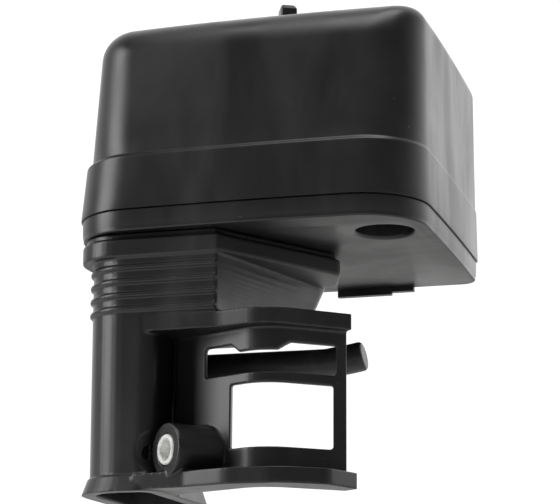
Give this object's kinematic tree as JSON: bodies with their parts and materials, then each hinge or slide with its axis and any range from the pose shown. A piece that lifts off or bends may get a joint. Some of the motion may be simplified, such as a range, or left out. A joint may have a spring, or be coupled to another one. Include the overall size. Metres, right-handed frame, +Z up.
{
  "type": "air filter housing",
  "caption": "Moulded air filter housing of a small engine: lift-off cover and tray around a round element, on a ribbed elbow that leads down to the carburettor.",
  "frame": {"origin": "on the carburettor gasket's outer face, 10 mm behind and 9.5 mm above the centre of the carburettor bore", "axes": "+Z up along the centre stud, -Y to the front (the windowed side), +X to the right, out of the carburettor face"},
  "size_m": [0.159, 0.153, 0.2318],
  "materials": {
    "black_plastic": "moulded polypropylene, satin black with faint flow marks",
    "zinc_steel": "zinc-plated steel, dull bright",
    "rubber": "black moulded rubber washer",
    "foam": "oiled open-cell polyurethane foam, dark grey",
    "filter_paper": "pleated resin-treated filter paper, buff",
    "gasket_paper": "compressed fibre gasket, grey",
    "seal_rubber": "soft moulded polyurethane end seal, dark grey"
  },
  "bodies": {
    "housing": {"intake_elbow": "black_plastic", "base_tray": "black_plastic", "centre_stud": "zinc_steel", "stud_lower_washer": "zinc_steel", "stud_lower_nut": "zinc_steel", "stud_upper_washer": "zinc_steel", "stud_upper_nut": "zinc_steel", "carburettor_gasket": "gasket_paper", "carburettor_collar_front": "zinc_steel", "carburettor_collar_back": "zinc_steel", "mount_collar": "zinc_steel", "tray_screw_1": "zinc_steel", "tray_screw_2": "zinc_steel", "tray_screw_3": "zinc_steel"},
    "cover": {"cover": "black_plastic", "cover_seal": "rubber"},
    "cover_washer": {"cover_washer": "zinc_steel"},
    "cover_wing_nut": {"cover_wing_nut": "black_plastic"},
    "element": {"element_paper": "filter_paper", "element_screen": "zinc_steel", "element_top_seal": "seal_rubber", "element_bottom_seal": "seal_rubber"},
    "foam": {"foam_sleeve": "foam"},
    "element_washer": {"element_washer": "zinc_steel"},
    "element_wing_nut": {"element_wing_nut": "zinc_steel"}
  },
  "joints": [
    {"name": "cover_lift", "type": "slide", "parent": "housing", "child": "cover", "axis": [0, 0, 1], "range_m": [0, 0.28]},
    {"name": "element_lift", "type": "slide", "parent": "housing", "child": "element", "axis": [0, 0, 1], "range_m": [0, 0.127]},
    {"name": "foam_lift", "type": "slide", "parent": "housing", "child": "foam", "axis": [0, 0, 1], "range_m": [0, 0.203]},
    {"name": "cover_nut_rise", "type": "slide", "parent": "cover", "child": "cover_washer", "axis": [0, 0, 1], "range_m": [0, 0.0061]},
    {"name": "cover_nut_turn", "type": "hinge", "parent": "cover_washer", "child": "cover_wing_nut", "pos_m": [0.0282, 0.012, 0.169], "axis": [0, 0, 1], "range_deg": [0, 2160]},
    {"name": "element_nut_rise", "type": "slide", "parent": "element", "child": "element_washer", "axis": [0, 0, 1], "range_m": [0, 0.0061]},
    {"name": "element_nut_turn", "type": "hinge", "parent": "element_washer", "child": "element_wing_nut", "pos_m": [0.0282, 0.012, 0.139], "axis": [0, 0, 1], "range_deg": [0, 2160]}
  ],
  "couplings": [
    {"joint": "element_lift", "follows": "cover_lift", "ratio": 0.45},
    {"joint": "foam_lift", "follows": "cover_lift", "ratio": 0.72},
    {"joint": "cover_nut_rise", "follows": "cover_nut_turn", "m_per_rad": 0.00015915},
    {"joint": "element_nut_rise", "follows": "element_nut_turn", "m_per_rad": 0.00015915}
  ]
}
